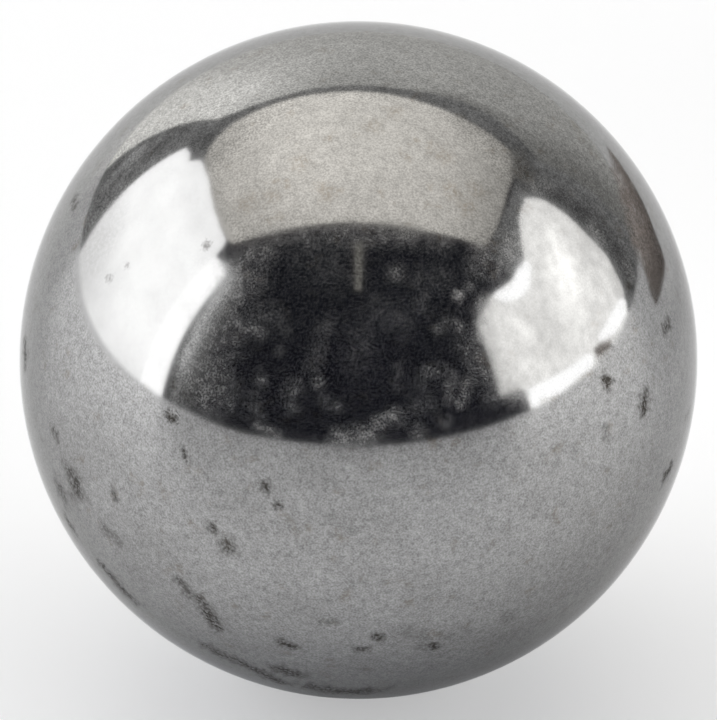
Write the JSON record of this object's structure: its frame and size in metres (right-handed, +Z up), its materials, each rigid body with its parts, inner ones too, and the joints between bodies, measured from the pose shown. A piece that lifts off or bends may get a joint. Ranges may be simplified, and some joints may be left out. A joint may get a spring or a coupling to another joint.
{
  "type": "steel ball",
  "caption": "Polished steel ball with light wear and shallow surface pits; a loose rolling element, valve ball or small weight.",
  "frame": {"origin": "centre of the ball", "axes": "+Z up; the ball is the same all round, so the axes only place the wear marks of its looks, whose pictured side faces -Y"},
  "size_m": [0.01, 0.01, 0.01],
  "materials": {
    "polished_steel": "polished"
  },
  "bodies": {
    "root": {"ball": "polished_steel"}
  },
  "joints": []
}
